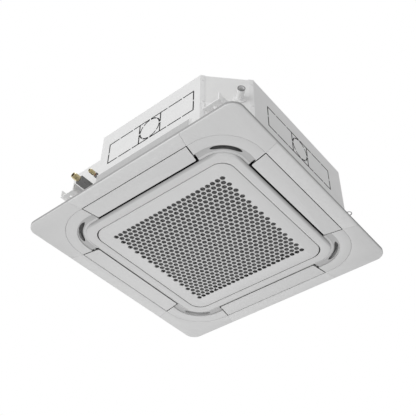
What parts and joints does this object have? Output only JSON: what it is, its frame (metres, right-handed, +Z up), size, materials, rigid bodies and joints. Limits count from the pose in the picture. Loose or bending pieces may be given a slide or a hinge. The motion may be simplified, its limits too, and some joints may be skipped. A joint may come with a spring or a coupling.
{
  "type": "ceiling cassette air conditioner",
  "caption": "Square four-way ceiling cassette air conditioner with a decoration panel, perforated intake grille, tilting vanes, bevelled casing, fan and coil.",
  "frame": {"origin": "centre of the four suspension slots, at the middle of the brackets' sheet", "axes": "+Z up into the ceiling; -X and -Y the two sides seen in front; the pipes leave at the -X, +Y corner; the grille hangs from its -X edge"},
  "size_m": [0.95, 0.95, 0.3315],
  "materials": {
    "panel_plastic": "satin",
    "louvre_plastic": "satin",
    "grille_plastic": "satin",
    "catch_plastic": "matte",
    "filter_mesh": "matte",
    "galvanised_sheet": "satin",
    "corner_sheet": "satin",
    "bracket_steel": "galvanised",
    "screw_steel": "zinc plated",
    "wire_steel": "zinc plated",
    "foam_white": "matte foam",
    "seal_foam": "matte foam",
    "black_plastic": "matte",
    "fan_plastic": "matte",
    "shaft_steel": "ground",
    "motor_paint": "satin",
    "bush_rubber": "matte",
    "fin_aluminium": "satin",
    "copper": "satin copper",
    "brass": "satin",
    "pipe_insulation": "matte foam",
    "white_plastic": "satin",
    "board_green": "satin",
    "block_cream": "matte",
    "gland_black": "matte"
  },
  "bodies": {
    "unit": {"panel_frame": "panel_plastic", "corner_cover_1": "panel_plastic", "corner_cover_2": "panel_plastic", "corner_cover_3": "panel_plastic", "corner_cover_4": "panel_plastic", "inner_frame": "panel_plastic", "louvre_motor_1": "motor_paint", "louvre_motor_2": "motor_paint", "louvre_motor_3": "motor_paint", "louvre_motor_4": "motor_paint", "panel_screws": "screw_steel", "panel_seal": "seal_foam", "side_plate_left": "galvanised_sheet", "side_plate_near": "galvanised_sheet", "side_plate_right": "galvanised_sheet", "side_plate_far": "galvanised_sheet", "corner_plate_near": "corner_sheet", "corner_plate_right": "corner_sheet", "corner_plate_far": "corner_sheet", "pipe_plate": "corner_sheet", "casing_top": "galvanised_sheet", "hanger_bracket_1": "bracket_steel", "hanger_bracket_2": "bracket_steel", "hanger_bracket_3": "bracket_steel", "hanger_bracket_4": "bracket_steel", "casing_screws": "screw_steel", "panel_hooks": "wire_steel", "foam_liner": "foam_white", "drain_pan": "foam_white", "pan_plug": "bush_rubber", "bell_mouth": "black_plastic", "fan_motor": "motor_paint", "motor_bushes": "bush_rubber", "coil_fins": "fin_aluminium", "coil_tubes": "copper", "gas_pipe": "copper", "gas_flare_nut": "brass", "liquid_pipe": "copper", "liquid_flare_nut": "brass", "pipe_foam": "pipe_insulation", "drain_pump": "white_plastic", "float_switch": "white_plastic", "drain_socket": "white_plastic", "control_box": "galvanised_sheet", "control_box_cover": "galvanised_sheet", "circuit_board": "board_green", "terminal_block": "block_cream", "cable_gland": "gland_black"},
    "grille": {"intake_grille": "grille_plastic", "air_filter": "filter_mesh"},
    "catch_1": {"grille_latch_1": "catch_plastic"},
    "catch_2": {"grille_latch_2": "catch_plastic"},
    "fan": {"turbo_fan": "fan_plastic", "motor_shaft": "shaft_steel", "fan_nut": "brass"},
    "float": {"float_ball": "white_plastic"},
    "vane_1": {"louvre_1": "louvre_plastic"},
    "vane_2": {"louvre_2": "louvre_plastic"},
    "vane_3": {"louvre_3": "louvre_plastic"},
    "vane_4": {"louvre_4": "louvre_plastic"}
  },
  "joints": [
    {"name": "vane_1_tilt", "type": "hinge", "parent": "unit", "child": "vane_1", "pos_m": [0.372, 0, -0.124], "axis": [0, 1, 0], "range_deg": [0, 45]},
    {"name": "vane_2_tilt", "type": "hinge", "parent": "unit", "child": "vane_2", "pos_m": [0, 0.372, -0.124], "axis": [-1, 0, 0], "range_deg": [0, 45]},
    {"name": "vane_3_tilt", "type": "hinge", "parent": "unit", "child": "vane_3", "pos_m": [-0.372, 0, -0.124], "axis": [0, -1, 0], "range_deg": [0, 45]},
    {"name": "vane_4_tilt", "type": "hinge", "parent": "unit", "child": "vane_4", "pos_m": [0, -0.372, -0.124], "axis": [1, 0, 0], "range_deg": [0, 45]},
    {"name": "grille_swing", "type": "hinge", "parent": "unit", "child": "grille", "pos_m": [-0.2785, 0, -0.1365], "axis": [0, 1, 0], "range_deg": [0, 90]},
    {"name": "catch_1_slide", "type": "slide", "parent": "grille", "child": "catch_1", "axis": [-1, 0, 0], "range_m": [0, 0.006], "stiffness_N_per_m": 60, "springref_m": -0.004},
    {"name": "catch_2_slide", "type": "slide", "parent": "grille", "child": "catch_2", "axis": [-1, 0, 0], "range_m": [0, 0.006], "stiffness_N_per_m": 60, "springref_m": -0.004},
    {"name": "fan_spin", "type": "hinge", "parent": "unit", "child": "fan", "pos_m": [0, 0, 0.08], "axis": [0, 0, 1], "continuous": true},
    {"name": "float_rise", "type": "slide", "parent": "unit", "child": "float", "axis": [0, 0, 1], "range_m": [0, 0.01]}
  ]
}
